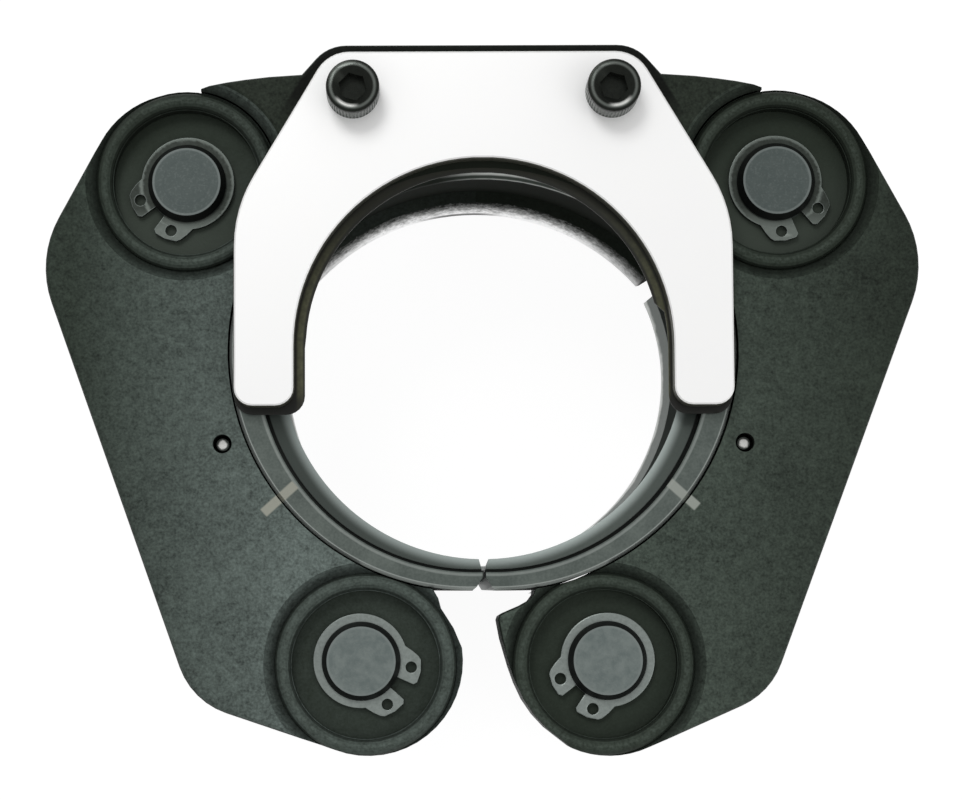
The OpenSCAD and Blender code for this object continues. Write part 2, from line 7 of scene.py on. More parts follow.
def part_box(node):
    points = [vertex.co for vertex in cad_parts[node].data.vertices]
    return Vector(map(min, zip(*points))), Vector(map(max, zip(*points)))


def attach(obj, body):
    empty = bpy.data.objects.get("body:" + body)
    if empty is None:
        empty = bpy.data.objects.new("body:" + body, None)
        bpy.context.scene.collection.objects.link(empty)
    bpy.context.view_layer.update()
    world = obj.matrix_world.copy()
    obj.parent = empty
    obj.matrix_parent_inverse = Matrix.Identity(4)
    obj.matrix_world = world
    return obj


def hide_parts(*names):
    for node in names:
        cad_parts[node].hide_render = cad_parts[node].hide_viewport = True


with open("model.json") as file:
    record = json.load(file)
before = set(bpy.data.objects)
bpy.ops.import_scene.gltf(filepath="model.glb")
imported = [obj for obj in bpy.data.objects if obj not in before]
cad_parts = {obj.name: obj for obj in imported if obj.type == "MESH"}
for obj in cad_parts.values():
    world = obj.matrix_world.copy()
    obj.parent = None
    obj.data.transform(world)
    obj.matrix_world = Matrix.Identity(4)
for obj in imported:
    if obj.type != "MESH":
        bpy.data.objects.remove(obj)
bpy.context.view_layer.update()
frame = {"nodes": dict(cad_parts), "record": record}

nodes = frame["nodes"]
bodies = frame["record"]["behaviour"]["bodies"]
mm = 0.001

# places on the ring that several finishes share, in millimetres
ringSetting = {
    "upperPin": (47.65, 28.5),
    "lowerPin": (19.65, -48.65),
    "lowerBead": (18.95, -49.2),
    "seat": (2.3, 0.9),
    "stepMiddle": (1.6, 0.0),
    "linkLip": (0.0, -8.3),
    "half": 20.0,
}


def hexToLinear(code):
    # sRGB hex to the linear colour the shaders take
    parts = [int(code[i:i + 2], 16) / 255 for i in (1, 3, 5)]
    linear = [p / 12.92 if p <= 0.04045 else ((p + 0.055) / 1.055) ** 2.4 for p in parts]
    return (*linear, 1.0)


def addNode(material, kind, inputs=None, out=0, **fields):
    # one node: numbers and colours set its sockets, other nodes' outputs are linked; gives back an output
    node = material.node_tree.nodes.new(kind)
    for name, value in fields.items():
        setattr(node, name, value)
    for key, value in (inputs or {}).items():
        if isinstance(value, bpy.types.NodeSocket):
            material.node_tree.links.new(value, node.inputs[key])
        else:
            node.inputs[key].default_value = value
    return node.outputs[out] if len(node.outputs) else node


def startMaterial(name):
    material = bpy.data.materials.new(name)
    material.use_nodes = True
    material.node_tree.nodes.clear()
    return material


def endMaterial(material, inputs):
    shader = addNode(material, "ShaderNodeBsdfPrincipled", inputs)
    addNode(material, "ShaderNodeOutputMaterial", {"Surface": shader})
    return material


def readPlace(material):
    # place on the object as one vector, and as x, y and z
    place = addNode(material, "ShaderNodeTexCoord", out="Object")
    return place, [addNode(material, "ShaderNodeSeparateXYZ", {0: place}, out=axis) for axis in ("X", "Y", "Z")]


def readFlat(material):
    # 1 on faces square to the ring's axis, 0 on upright walls
    facing = addNode(material, "ShaderNodeTexCoord", out="Normal")
    facing = addNode(material, "ShaderNodeSeparateXYZ", {0: facing}, out="Z")
    return addNode(material, "ShaderNodeMath", {0: facing}, operation="ABSOLUTE")


def bandMask(material, value, low, high, soft):
    # 1 between low and high, fading over twice soft at both ends
    rise = addNode(material, "ShaderNodeMapRange", {0: value, 1: low - soft, 2: low + soft},
                   interpolation_type="SMOOTHSTEP")
    fall = addNode(material, "ShaderNodeMapRange", {0: value, 1: high - soft, 2: high + soft, 3: 1.0, 4: 0.0},
                   interpolation_type="SMOOTHSTEP")
    return addNode(material, "ShaderNodeMath", {0: rise, 1: fall}, operation="MULTIPLY")


def radiusFrom(material, x, y, middle):
    # distance from a line along the ring's axis
    dx = addNode(material, "ShaderNodeMath", {0: x, 1: middle[0] * mm}, operation="SUBTRACT")
    dy = addNode(material, "ShaderNodeMath", {0: y, 1: middle[1] * mm}, operation="SUBTRACT")
    level = addNode(material, "ShaderNodeCombineXYZ", {0: dx, 1: dy})
    return addNode(material, "ShaderNodeVectorMath", {0: level}, out="Value", operation="LENGTH")


def layPaint(material, color, masks, amount, paint):
    # a further tone over the colour so far, as strong as its masks together
    mask = amount
    for each in masks:
        mask = addNode(material, "ShaderNodeMath", {0: each, 1: mask}, operation="MULTIPLY")
    paint = hexToLinear(paint) if isinstance(paint, str) else paint
    return addNode(material, "ShaderNodeMix", {0: mask, 6: color, 7: paint}, out=2, data_type="RGBA")


cameraSetting = {
    "place": (-14.95, -46.88, 440.0),
    "look": (0.0, 0.07498, -0.99719),
    "roll": -0.172,
    "lens": 94.02,
    "shift": (0.0950, 0.0632),
}


def makeCamera(setting):
    # stands square over the ring's face, a little low and to the left, as the photograph was taken
    look = Vector(setting["look"]).normalized()
    right = look.cross(Vector((0, 1, 0))).normalized()
    up = right.cross(look)
    turn = Matrix((right, up, -look)).transposed().to_4x4()
    data = bpy.data.cameras.new("camera")
    data.lens = setting["lens"]
    data.sensor_width = 36
    data.shift_x, data.shift_y = setting["shift"]
    data.clip_start = 0.01
    data.clip_end = 20
    camera = bpy.data.objects.new("camera", data)
    bpy.context.scene.collection.objects.link(camera)
    place = Matrix.Translation(Vector(setting["place"]) * mm)
    camera.matrix_world = place @ turn @ Matrix.Rotation(math.radians(setting["roll"]), 4, "Z")
    bpy.context.scene.camera = camera


lightSetting = {
    "worldColor": "#ffffff",
    "worldStrength": 0.64,
    "lamps": [
        {"name": "keyLamp", "place": (-0.25, 0.55, 0.8), "size": 0.35, "power": 2.8},
        {"name": "fillLamp", "place": (0.6, -0.2, 0.6), "size": 0.5, "power": 1.0},
    ],
}


def makeLights(setting):
    world = bpy.data.worlds.new("studio")
    bpy.context.scene.world = world
    world.use_nodes = True
    world.node_tree.nodes.clear()
    sky = addNode(world, "ShaderNodeBackground",
                  {"Color": hexToLinear(setting["worldColor"]), "Strength": setting["worldStrength"]})
    addNode(world, "ShaderNodeOutputWorld", {"Surface": sky})
    for lamp in setting["lamps"]:
        data = bpy.data.lights.new(lamp["name"], "AREA")
        data.size = lamp["size"]
        data.energy = lamp["power"]
        thing = bpy.data.objects.new(lamp["name"], data)
        bpy.context.scene.collection.objects.link(thing)
        thing.location = lamp["place"]
        aim = Vector((0, 0, 0.02)) - Vector(lamp["place"])
        thing.rotation_euler = aim.to_track_quat("-Z", "Y").to_euler()
    bpy.context.scene.view_settings.view_transform = "Standard"


floorSetting = {"size": 6.0, "color": "#f4f4f3", "shadowShare": 0.13, "glow": 0.945}


def makeFloor(setting):
    # matt white paper: seen or mirrored it glows to white and keeps a soft share of the shadow
    bpy.ops.object.select_all(action="DESELECT")
    bpy.ops.mesh.primitive_plane_add(size=setting["size"], location=(0, 0, -0.0002))
    floor = bpy.context.object
    floor.name = "paperFloor"
    paper = startMaterial("mattPaper")
    plain = addNode(paper, "ShaderNodeBsdfDiffuse", {"Color": hexToLinear(setting["color"])})
    share = setting["shadowShare"]
    thin = addNode(paper, "ShaderNodeBsdfDiffuse", {"Color": (share, share, share, 1)})
    glow = addNode(paper, "ShaderNodeEmission", {"Color": (1, 1, 1, 1), "Strength": setting["glow"]})
    bright = addNode(paper, "ShaderNodeAddShader", {0: thin, 1: glow})
    seen = addNode(paper, "ShaderNodeLightPath", out="Is Camera Ray")
    mirrored = addNode(paper, "ShaderNodeLightPath", out="Is Glossy Ray")
    through = addNode(paper, "ShaderNodeLightPath", out="Is Transmission Ray")
    shown = addNode(paper, "ShaderNodeMath", {0: seen, 1: mirrored}, operation="MAXIMUM")
    shown = addNode(paper, "ShaderNodeMath", {0: shown, 1: through}, operation="MAXIMUM")
    pick = addNode(paper, "ShaderNodeMixShader", {0: shown, 1: plain, 2: bright})
    addNode(paper, "ShaderNodeOutputMaterial", {"Surface": pick})
    floor.data.materials.append(paper)


# plain index marks across segment and arm, middle and direction outwards, lengths in millimetres
markSetting = {
    "right": {"middle": (31.8, -22.3), "turn": -42.0, "half": 2.95, "color": "#969b94"},
    "left": {"middle": (-32.6, -22.8), "turn": 222.0, "half": 3.4, "color": "#9a9b90"},
    "halfWidth": 0.76,
    "soft": 0.16,
}


def paintMarks(material, color, axes, setting):
    # thin grey paint, on the front faces only
    x, y, z = axes
    front = addNode(material, "ShaderNodeMath", {0: z, 1: 39.2 * mm}, operation="GREATER_THAN")
    soft = setting["soft"] * mm
    for mark in (setting["right"], setting["left"]):
        angle = math.radians(mark["turn"])
        dx = addNode(material, "ShaderNodeMath", {0: x, 1: mark["middle"][0] * mm}, operation="SUBTRACT")
        dy = addNode(material, "ShaderNodeMath", {0: y, 1: mark["middle"][1] * mm}, operation="SUBTRACT")
        level = addNode(material, "ShaderNodeCombineXYZ", {0: dx, 1: dy})
        along = addNode(material, "ShaderNodeVectorMath", {0: level, 1: (math.cos(angle), math.sin(angle), 0)},
                        out="Value", operation="DOT_PRODUCT")
        across = addNode(material, "ShaderNodeVectorMath", {0: level, 1: (-math.sin(angle), math.cos(angle), 0)},
                         out="Value", operation="DOT_PRODUCT")
        length = bandMask(material, along, -mark["half"] * mm, mark["half"] * mm, soft)
        width = bandMask(material, across, -setting["halfWidth"] * mm, setting["halfWidth"] * mm, soft)
        color = layPaint(material, color, (length, width, front), 0.92, mark["color"])
    return color


forgedSetting = {
    "leftInner": "#5e6864",
    "leftOuter": "#2f3730",
    "rightInner": "#424b44",
    "rightOuter": "#2a312a",
    "link": "#272d26",
    "floor": "#293028",
    "floorLowLit": "#434a43",
    "crest": "#59625c",
    "valley": "#171b17",
    "wall": "#1b1f1a",
    "rim": "#0c0e0b",
    "bore": "#1c201a",
    "boreLandLit": "#565e58",
    "boreHighlight": "#dde1dd",
    "rubbedSheen": "#ffffff",
    "rubbedDimSheen": "#aeb2ae",
    "blotch": 11.0,
    "mottle": 1.3,
    "grit": 0.45,
    "roughness": 0.55,
    "gloss": 0.12,
}


def makeForged(setting):
    # manganese phosphate on shot-blasted forged steel: dull black-green and mottled, with painted light lighter
    # towards the ring and painted shade near black on the outline, walls and hollows
    steel = startMaterial("phosphatedForging")
    place, (x, y, z) = readPlace(steel)
    flat = readFlat(steel)
    sideways = addNode(steel, "ShaderNodeMath", {0: x}, operation="ABSOLUTE")
    # painted shade and light: darker at the outer outline, lighter towards the ring, the left arm lighter than the
    # right
    paintedLightMask = addNode(steel, "ShaderNodeMapRange", {0: sideways, 1: 66 * mm, 2: 30 * mm})
    left = layPaint(steel, hexToLinear(setting["leftOuter"]), (paintedLightMask,), 1.0, setting["leftInner"])
    right = layPaint(steel, hexToLinear(setting["rightOuter"]), (paintedLightMask,), 1.0, setting["rightInner"])
    isRight = addNode(steel, "ShaderNodeMath", {0: x, 1: 0.0}, operation="GREATER_THAN")
    color = layPaint(steel, left, (isRight,), 1.0, right)
    isLink = addNode(steel, "ShaderNodeMath", {0: z, 1: 40.2 * mm}, operation="GREATER_THAN")
    high = addNode(steel, "ShaderNodeMapRange", {0: y, 1: 27 * mm, 2: 36 * mm}, interpolation_type="SMOOTHSTEP")
    color = layPaint(steel, color, (high,), 0.55, setting["link"])
    color = layPaint(steel, color, (isLink,), 1.0, setting["link"])
    # painted shade: the link's rim along the plate's head painted black
    rise = addNode(steel, "ShaderNodeMath", {0: y, 1: 48.75 * mm}, operation="SUBTRACT")
    lean = addNode(steel, "ShaderNodeMath", {0: sideways, 1: 24.7 * mm}, operation="SUBTRACT")
    lean = addNode(steel, "ShaderNodeMath", {0: lean, 1: 0.859}, operation="MULTIPLY")
    lean = addNode(steel, "ShaderNodeMath", {0: rise, 1: 0.512, 2: lean}, operation="MULTIPLY_ADD")
    rim = addNode(steel, "ShaderNodeMath", {0: rise, 1: lean}, operation="MAXIMUM")
    rim = bandMask(steel, rim, -1 * mm, 1.9 * mm, 0.3 * mm)
    upperRim = addNode(steel, "ShaderNodeMapRange", {0: y, 1: 38 * mm, 2: 42 * mm})
    color = layPaint(steel, color, (isLink, rim, upperRim), 0.9, setting["rim"])
    # mottling from the blasted skin, in blotches, spots and grit
    blotch = addNode(steel, "ShaderNodeTexNoise", {"Vector": place, "Scale": 1 / (setting["blotch"] * mm),
                                                   "Detail": 3.0, "Roughness": 0.6})
    mottle = addNode(steel, "ShaderNodeTexNoise", {"Vector": place, "Scale": 1 / (setting["mottle"] * mm),
                                                   "Detail": 3.0, "Roughness": 0.65})
    grit = addNode(steel, "ShaderNodeTexNoise", {"Vector": place, "Scale": 1 / (setting["grit"] * mm),
                                                 "Detail": 2.0, "Roughness": 0.6})
    tone = addNode(steel, "ShaderNodeMath", {0: blotch, 1: 0.7, 2: -0.8}, operation="MULTIPLY_ADD")
    tone = addNode(steel, "ShaderNodeMath", {0: mottle, 1: 1.3, 2: tone}, operation="MULTIPLY_ADD")
    tone = addNode(steel, "ShaderNodeMath", {0: grit, 1: 1.6, 2: tone}, operation="MULTIPLY_ADD")
    color = addNode(steel, "ShaderNodeVectorMath", {0: color, "Scale": tone}, operation="SCALE")
    # recess floors, bead crests and the valleys round them, by distance from the pins: painted shade on the floors,
    # bead and valleys, painted light on the lower part of the upper floors, painted highlight specks on the crests
    upper = radiusFrom(steel, sideways, y, ringSetting["upperPin"])
    lower = radiusFrom(steel, sideways, y, ringSetting["lowerBead"])
    near = addNode(steel, "ShaderNodeMath", {0: upper, 1: lower}, operation="MINIMUM")
    depth = addNode(steel, "ShaderNodeMath", {0: z, 1: ringSetting["half"] * mm}, operation="SUBTRACT")
    depth = addNode(steel, "ShaderNodeMath", {0: depth}, operation="ABSOLUTE")
    inRecess = addNode(steel, "ShaderNodeMath", {0: depth, 1: 16.6 * mm}, operation="LESS_THAN")
    color = layPaint(steel, color, (inRecess, bandMask(steel, near, -1 * mm, 11.9 * mm, 0.1 * mm)), 0.85,
                     setting["floor"])
    isUpper = addNode(steel, "ShaderNodeMath", {0: y, 1: 5 * mm}, operation="GREATER_THAN")
    pinHeight = addNode(steel, "ShaderNodeMix", {0: isUpper, 2: -48.7 * mm, 3: 28.5 * mm})
    below = addNode(steel, "ShaderNodeMath", {0: pinHeight, 1: y}, operation="SUBTRACT")
    below = addNode(steel, "ShaderNodeMapRange", {0: below, 1: -6 * mm, 2: 11 * mm})
    color = layPaint(steel, color, (inRecess, bandMask(steel, near, -1 * mm, 11.9 * mm, 0.1 * mm), isUpper, below),
                     0.8, setting["floorLowLit"])
    color = layPaint(steel, color, (bandMask(steel, near, 14.35 * mm, 15.5 * mm, 0.45 * mm),), 0.6,
                     setting["valley"])
    glintSpecks = addNode(steel, "ShaderNodeMapRange", {0: grit, 1: 0.4, 2: 0.65})
    color = layPaint(steel, color, (bandMask(steel, near, 11.8 * mm, 14.5 * mm, 0.3 * mm),), 0.55,
                     setting["floor"])
    color = layPaint(steel, color, (glintSpecks, bandMask(steel, near, 12.9 * mm, 13.3 * mm, 0.5 * mm)), 0.35,
                     setting["crest"])
    # painted shade: walls and sloped faces painted near black
    upright = addNode(steel, "ShaderNodeMapRange", {0: flat, 1: 0.9, 2: 0.3})
    color = layPaint(steel, color, (upright,), 0.85, setting["wall"])
    # link's press bore: rear lip rubbed bare in streaks and painted white as highlight, fading towards its ends;
    # front lip with painted light on its land and two painted highlight lines on the right; painted shade black
    # between
    bore = radiusFrom(steel, x, y, ringSetting["linkLip"])
    inBore = bandMask(steel, bore, 30 * mm, 41 * mm, 0.15 * mm)
    topHalf = addNode(steel, "ShaderNodeMath", {0: y, 1: 14 * mm}, operation="GREATER_THAN")
    inBore = addNode(steel, "ShaderNodeMath", {0: inBore, 1: topHalf}, operation="MULTIPLY")
    color = layPaint(steel, color, (inBore,), 0.85, setting["bore"])
    wavy = addNode(steel, "ShaderNodeMath", {0: grit, 1: 1.2 * mm, 2: -1.4 * mm}, operation="MULTIPLY_ADD")
    wavy = addNode(steel, "ShaderNodeMath", {0: mottle, 1: 1.6 * mm, 2: wavy}, operation="MULTIPLY_ADD")
    level = addNode(steel, "ShaderNodeMath", {0: z, 1: wavy}, operation="ADD")
    rearLip = addNode(steel, "ShaderNodeMapRange", {0: level, 1: 11.1 * mm, 2: 10.0 * mm})
    rearLip = addNode(steel, "ShaderNodeMath", {0: rearLip, 1: inBore}, operation="MULTIPLY")
    ends = addNode(steel, "ShaderNodeMapRange", {0: sideways, 1: 30 * mm, 2: 16 * mm, 3: 0.6})
    rearLip = addNode(steel, "ShaderNodeMath", {0: rearLip, 1: ends}, operation="MULTIPLY")
    flank = addNode(steel, "ShaderNodeMath", {0: wavy, 1: 0.5, 2: bore}, operation="MULTIPLY_ADD")
    flank = addNode(steel, "ShaderNodeMapRange", {0: flank, 1: 38.5 * mm, 2: 37.6 * mm})
    rearLip = addNode(steel, "ShaderNodeMath", {0: rearLip, 1: flank}, operation="MULTIPLY")
    bright = addNode(steel, "ShaderNodeMath", {0: wavy, 1: 3.0, 2: z}, operation="MULTIPLY_ADD")
    bright = addNode(steel, "ShaderNodeMapRange", {0: bright, 1: 11.0 * mm, 2: 5.5 * mm})
    lipTone = layPaint(steel, hexToLinear(setting["rubbedDimSheen"]), (bright,), 1.0, setting["rubbedSheen"])
    color = layPaint(steel, color, (rearLip,), 1.0, lipTone)
    # painted shade: a black line at the foot of the rear lip
    foot = addNode(steel, "ShaderNodeMath", {0: bandMask(steel, z, 2.0 * mm, 4.0 * mm, 0.15 * mm),
                                             1: bandMask(steel, x, -8 * mm, 3 * mm, 3 * mm)},
                   operation="MULTIPLY")
    color = layPaint(steel, color, (foot, inBore), 0.9, setting["bore"])
    litRightward = bandMask(steel, x, -3 * mm, 24 * mm, 5 * mm)
    color = layPaint(steel, color, (inBore, bandMask(steel, z, 35.2 * mm, 39.4 * mm, 0.5 * mm), litRightward), 0.6,
                     setting["boreLandLit"])
    highlightLines = addNode(steel, "ShaderNodeMath", {0: bandMask(steel, z, 38.4 * mm, 39.4 * mm, 0.3 * mm),
                                                  1: bandMask(steel, z, 34.4 * mm, 37.3 * mm, 0.4 * mm)},
                        operation="ADD")
    color = layPaint(steel, color, (highlightLines, inBore, litRightward), 0.95, setting["boreHighlight"])
    color = paintMarks(steel, color, (x, y, z), markSetting)
    height = addNode(steel, "ShaderNodeMath", {0: mottle, 1: 0.8, 2: grit}, operation="MULTIPLY_ADD")
    bump = addNode(steel, "ShaderNodeBump", {"Height": height, "Strength": 0.5, "Distance": 0.05 * mm})
    dull = addNode(steel, "ShaderNodeMath", {0: inBore, 1: rearLip}, operation="SUBTRACT", use_clamp=True)
    rough = addNode(steel, "ShaderNodeMapRange", {0: dull, 3: setting["roughness"], 4: 0.9})
    rough = addNode(steel, "ShaderNodeMix", {0: rearLip, 2: rough, 3: 0.35})
    metal = addNode(steel, "ShaderNodeMapRange", {0: dull, 3: 0.35, 4: 0.0})
    metal = addNode(steel, "ShaderNodeMix", {0: rearLip, 2: metal, 3: 0.9})
    return endMaterial(steel, {"Base Color": color, "Metallic": metal, "Roughness": rough, "Normal": bump,
                               "Specular IOR Level": setting["gloss"]})


segmentSetting = {
    "face": "#4f5753",
    "faceLight": "#626a65",
    "ledge": "#3c433f",
    "ledgeEdge": "#8f9895",
    "lip": "#49534d",
    "rubbedSheen": "#d3d6d3",
    "edge": "#9ba19d",
    "groove": "#191d1a",
    "wall": "#20241f",
}


def makeSegment(setting):
    # hardened steel with grey phosphate, smoother than the forgings, rubbed bright on the rear lip; painted
    # highlights on lips and edges, painted shade in grooves, on the rear lip and on the outer wall
    steel = startMaterial("phosphatedSegment")
    place, (x, y, z) = readPlace(steel)
    cloud = addNode(steel, "ShaderNodeTexNoise", {"Vector": place, "Scale": 1 / (5 * mm), "Detail": 4.0,
                                                  "Roughness": 0.6})
    grit = addNode(steel, "ShaderNodeTexNoise", {"Vector": place, "Scale": 1 / (0.4 * mm), "Detail": 2.0})
    tone = addNode(steel, "ShaderNodeMath", {0: grit, 1: 0.6, 2: cloud}, operation="MULTIPLY_ADD")
    tone = addNode(steel, "ShaderNodeMapRange", {0: tone, 1: 0.62, 2: 1.0})
    color = layPaint(steel, hexToLinear(setting["face"]), (tone,), 1.0, setting["faceLight"])
    sideways = addNode(steel, "ShaderNodeMath", {0: x}, operation="ABSOLUTE")
    outer = radiusFrom(steel, sideways, y, ringSetting["seat"])
    stepAt = radiusFrom(steel, sideways, y, ringSetting["stepMiddle"])
    ring = radiusFrom(steel, x, y, (0.0, 0.0))
    depth = addNode(steel, "ShaderNodeMath", {0: z, 1: ringSetting["half"] * mm}, operation="SUBTRACT")
    depth = addNode(steel, "ShaderNodeMath", {0: depth}, operation="ABSOLUTE")
    # ledge: painted highlight at the lip, falling to painted shade at the step, and painted shade as a black line
    # in the groove
    fade = addNode(steel, "ShaderNodeMapRange", {0: ring, 1: 32.3 * mm, 2: 34.2 * mm},
                   interpolation_type="SMOOTHSTEP")
    ledgeTone = layPaint(steel, hexToLinear(setting["ledgeEdge"]), (fade,), 1.0, setting["ledge"])
    onLedge = bandMask(steel, depth, 16.2 * mm, 18.9 * mm, 0.2 * mm)
    inside = bandMask(steel, stepAt, 30 * mm, 34.5 * mm, 0.08 * mm)
    color = layPaint(steel, color, (onLedge, inside), 1.0, ledgeTone)
    grooveAt = bandMask(steel, stepAt, 34.0 * mm, 34.75 * mm, 0.1 * mm)
    sunk = bandMask(steel, depth, 14 * mm, 19.45 * mm, 0.08 * mm)
    color = layPaint(steel, color, (grooveAt, sunk), 0.9, setting["groove"])
    # bead groove inside, painted near black as shade
    within = bandMask(steel, ring, 30 * mm, 35.5 * mm, 0.2 * mm)
    color = layPaint(steel, color, (within, bandMask(steel, z, 9.6 * mm, 30.6 * mm, 0.5 * mm)), 0.85,
                     setting["groove"])
    # rear lip: painted shade darkens it, and its edge is rubbed bright and painted as highlight
    onLip = bandMask(steel, ring, 30 * mm, 33.6 * mm, 0.2 * mm)
    rear = addNode(steel, "ShaderNodeMath", {0: z, 1: 10 * mm}, operation="LESS_THAN")
    color = layPaint(steel, color, (rear, onLip), 0.8, setting["lip"])
    level = addNode(steel, "ShaderNodeMath", {0: cloud, 1: 4 * mm, 2: -2 * mm}, operation="MULTIPLY_ADD")
    level = addNode(steel, "ShaderNodeMath", {0: z, 1: level}, operation="ADD")
    rearLip = addNode(steel, "ShaderNodeMapRange", {0: level, 1: 5.4 * mm, 2: 4.2 * mm})
    color = layPaint(steel, color, (rearLip, onLip), 1.0, setting["rubbedSheen"])
    # painted highlight on the outer edge of both faces and along the step, painted shade on the dull outer wall
    color = layPaint(steel, color, (bandMask(steel, outer, 37.75 * mm, 38.32 * mm, 0.1 * mm),), 0.85,
                     setting["edge"])
    onFace = addNode(steel, "ShaderNodeMath", {0: depth, 1: 19.5 * mm}, operation="GREATER_THAN")
    color = layPaint(steel, color, (onFace, bandMask(steel, stepAt, 34.8 * mm, 35.2 * mm, 0.1 * mm)), 0.45,
                     setting["edge"])
    wall = addNode(steel, "ShaderNodeMath", {0: outer, 1: 38.34 * mm}, operation="GREATER_THAN")
    color = layPaint(steel, color, (wall,), 0.9, setting["wall"])
    color = paintMarks(steel, color, (x, y, z), markSetting)
    bump = addNode(steel, "ShaderNodeBump", {"Height": grit, "Strength": 0.35, "Distance": 0.02 * mm})
    rough = addNode(steel, "ShaderNodeMapRange", {0: grit, 3: 0.38, 4: 0.52})
    return endMaterial(steel, {"Base Color": color, "Metallic": 0.6, "Roughness": rough, "Normal": bump})


plateSetting = {"color": "#ffffff", "cloudy": "#fbfbfa", "edge": "#2c2d18", "roughness": 0.42}


def makePlate(setting):
    # bright zinc on flat steel sheet: almost white, faintly cloudy, with painted shade yellowish black on the cut
    # edges
    zinc = startMaterial("brightZincSheet")
    place = readPlace(zinc)[0]
    cloud = addNode(zinc, "ShaderNodeTexNoise", {"Vector": place, "Scale": 1 / (12 * mm), "Detail": 4.0,
                                                 "Roughness": 0.6})
    grain = addNode(zinc, "ShaderNodeTexNoise", {"Vector": place, "Scale": 1 / (0.4 * mm), "Detail": 2.0})
    color = layPaint(zinc, hexToLinear(setting["color"]), (cloud,), 1.0, setting["cloudy"])
    # painted shade: the cut edges darkened by their slope
    edgeShade = addNode(zinc, "ShaderNodeMapRange", {0: readFlat(zinc), 1: 0.97, 2: 0.75})
    color = layPaint(zinc, color, (edgeShade,), 0.95, setting["edge"])
    bump = addNode(zinc, "ShaderNodeBump", {"Height": grain, "Strength": 0.2, "Distance": 0.01 * mm})
    rough = addNode(zinc, "ShaderNodeMapRange", {0: cloud, 3: setting["roughness"] - 0.06,
                                                 4: setting["roughness"] + 0.06})
    return endMaterial(zinc, {"Base Color": color, "Metallic": 0.35, "Roughness": rough, "Normal": bump})


pinSetting = {
    "face": "#626c6a",
    "light": "#737c79",
    "upper": "#3d4644",
    "rim": "#7c8381",
    "circle": "#434c4b",
    "chamfer": "#0d0f0d",
    "turning": 0.4,
}


def makePin(setting):
    # hardened pin steel: turned end faces with a faint lathe pattern, the upper pins painted darker as shade,
    # the chamfer painted black as shade
    steel = startMaterial("turnedPinSteel")
    place, (x, y, z) = readPlace(steel)
    sideways = addNode(steel, "ShaderNodeMath", {0: x}, operation="ABSOLUTE")
    upper = radiusFrom(steel, sideways, y, ringSetting["upperPin"])
    lower = radiusFrom(steel, sideways, y, ringSetting["lowerPin"])
    radius = addNode(steel, "ShaderNodeMath", {0: upper, 1: lower}, operation="MINIMUM")
    turns = addNode(steel, "ShaderNodeMath", {0: radius, 1: 2 * math.pi / (setting["turning"] * mm)},
                    operation="MULTIPLY")
    turns = addNode(steel, "ShaderNodeMath", {0: turns}, operation="SINE")
    cloud = addNode(steel, "ShaderNodeTexNoise", {"Vector": place, "Scale": 1 / (1.6 * mm), "Detail": 4.0,
                                                  "Roughness": 0.65})
    tone = addNode(steel, "ShaderNodeMapRange", {0: cloud, 1: 0.35, 2: 0.65})
    color = layPaint(steel, hexToLinear(setting["face"]), (tone,), 1.0, setting["light"])
    # painted shade: the upper pins darker
    high = addNode(steel, "ShaderNodeMath", {0: y, 1: 0.0}, operation="GREATER_THAN")
    color = layPaint(steel, color, (high,), 0.8, setting["upper"])
    speckle = addNode(steel, "ShaderNodeTexNoise", {"Vector": place, "Scale": 1 / (0.35 * mm), "Detail": 2.0})
    speckle = addNode(steel, "ShaderNodeMapRange", {0: speckle, 1: 0.52, 2: 0.75})
    color = layPaint(steel, color, (speckle,), 0.22, setting["rim"])
    color = layPaint(steel, color, (bandMask(steel, radius, 5.15 * mm, 5.5 * mm, 0.12 * mm),), 0.5,
                     setting["rim"])
    # a tool mark that only the upper left pin shows
    marked = addNode(steel, "ShaderNodeMath", {0: x, 1: -35 * mm}, operation="LESS_THAN")
    color = layPaint(steel, color, (marked, bandMask(steel, radius, 3.45 * mm, 3.8 * mm, 0.15 * mm)), 0.4,
                     setting["circle"])
    # painted shade: the chamfer near black
    slope = addNode(steel, "ShaderNodeMapRange", {0: readFlat(steel), 1: 0.96, 2: 0.8})
    color = layPaint(steel, color, (slope,), 0.95, setting["chamfer"])
    height = addNode(steel, "ShaderNodeMath", {0: turns, 1: 0.2, 2: cloud}, operation="MULTIPLY_ADD")
    bump = addNode(steel, "ShaderNodeBump", {"Height": height, "Strength": 0.3, "Distance": 0.02 * mm})
    return endMaterial(steel, {"Base Color": color, "Metallic": 0.55, "Roughness": 0.48, "Normal": bump})


circlipSetting = {
    "upper": "#2a302a",
    "upperHighlight": "#7b837d",
    "lower": "#8b938f",
    "blot": "#4c534f",
    "edge": "#8d9591",
    "wall": "#0f110f",
    "bevel": 0.26,
}


